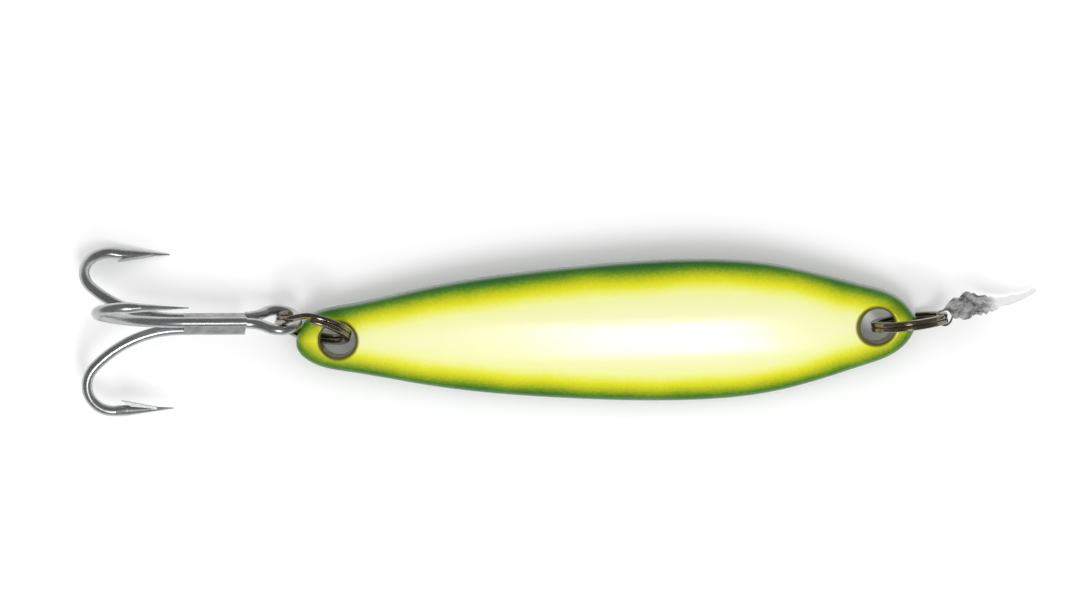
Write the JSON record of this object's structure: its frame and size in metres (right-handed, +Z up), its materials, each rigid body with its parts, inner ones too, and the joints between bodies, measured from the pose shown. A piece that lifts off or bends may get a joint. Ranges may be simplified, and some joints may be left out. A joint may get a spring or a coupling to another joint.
{
  "type": "casting spoon lure",
  "caption": "Leaf-shaped painted casting spoon, bowed and cupped, with a split ring at each end, a treble hook on the tail ring and a folded paper tag on the nose ring.",
  "frame": {"origin": "middle of the bounding box at table height", "axes": "+X along the spoon from the hook towards the line tie, +Y across the spoon, +Z up from the table"},
  "size_m": [0.1238, 0.0218, 0.0211],
  "materials": {
    "body_paint": "gloss lacquer, green edge fading through yellow to pearl white",
    "ring_black_nickel": "polished black nickel",
    "hook_steel": "tinned, satin",
    "hook_solder": "dull tinned braze",
    "tag_paper": "matt, creased"
  },
  "bodies": {
    "spoon": {"spoon_body": "body_paint"},
    "tail_ring": {"tail_split_ring": "ring_black_nickel"},
    "treble_hook": {"hook_double_wire": "hook_steel", "hook_single_wire": "hook_steel", "hook_braze": "hook_solder"},
    "nose_ring": {"nose_split_ring": "ring_black_nickel"},
    "tag": {"paper_tag": "tag_paper"}
  },
  "joints": [
    {"name": "tail_ring_swing", "type": "hinge", "parent": "spoon", "child": "tail_ring", "pos_m": [-0.03166, -0.00153, 0.00314], "axis": [0, -0.9744, -0.225], "range_deg": [0, 120]},
    {"name": "hook_swing", "type": "hinge", "parent": "tail_ring", "child": "treble_hook", "pos_m": [-0.03611, 0.00095, 0.00504], "axis": [0.0627, 0.2424, 0.9681], "range_deg": [-50, 25]},
    {"name": "nose_ring_swing", "type": "hinge", "parent": "spoon", "child": "nose_ring", "pos_m": [0.0444, -0.00153, 0.00314], "axis": [0, 0.9744, 0.225], "range_deg": [-20, 120]},
    {"name": "tag_swing", "type": "hinge", "parent": "nose_ring", "child": "tag", "pos_m": [0.04968, -0.001, 0.00504], "axis": [0.01, -0.104, 0.9945], "range_deg": [-50, 5]}
  ]
}
